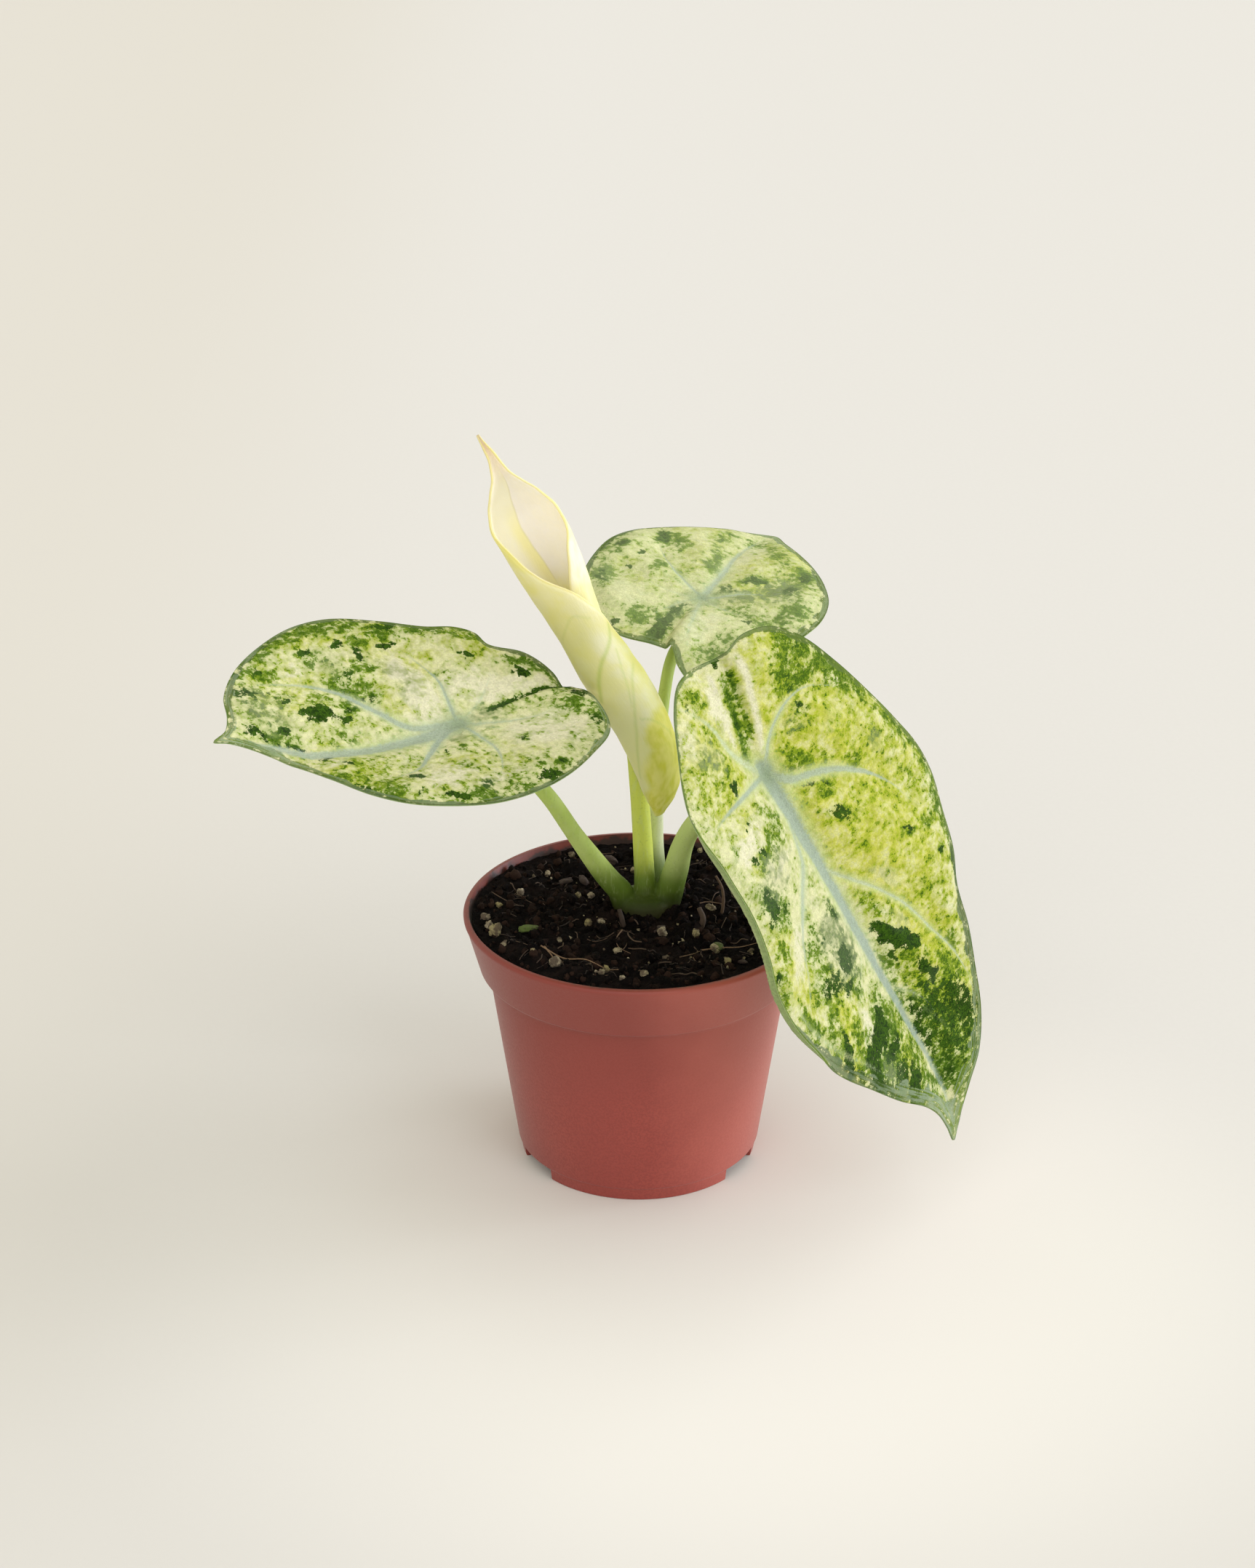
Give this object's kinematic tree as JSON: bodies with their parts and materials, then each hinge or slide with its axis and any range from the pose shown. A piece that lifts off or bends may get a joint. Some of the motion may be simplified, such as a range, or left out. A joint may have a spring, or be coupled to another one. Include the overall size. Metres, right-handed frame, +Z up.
{
  "type": "potted tricolor ninja alocasia",
  "caption": "Young potted alocasia: speckled heart-shaped leaves with silvery veins and one rolled pale new leaf, in a small round plastic nursery pot of dark soil.",
  "frame": {"origin": "middle of the pot's flat foot, on the surface it stands on", "axes": "+Z up along the pot's axis, -Y towards the viewer of the picture, +X to the picture's right"},
  "size_m": [0.1249, 0.1112, 0.1295],
  "materials": {
    "pot": "matte",
    "soil": "matte",
    "stalk": "satin",
    "leaf": "satin",
    "new_leaf": "satin"
  },
  "bodies": {
    "root": {"pot": "pot", "soil": "soil", "stem_base": "stalk", "petiole_left": "stalk", "petiole_right": "stalk", "petiole_back": "stalk", "petiole_new": "stalk", "leaf_left": "leaf", "leaf_right": "leaf", "leaf_back": "leaf", "leaf_new": "new_leaf"}
  },
  "joints": []
}
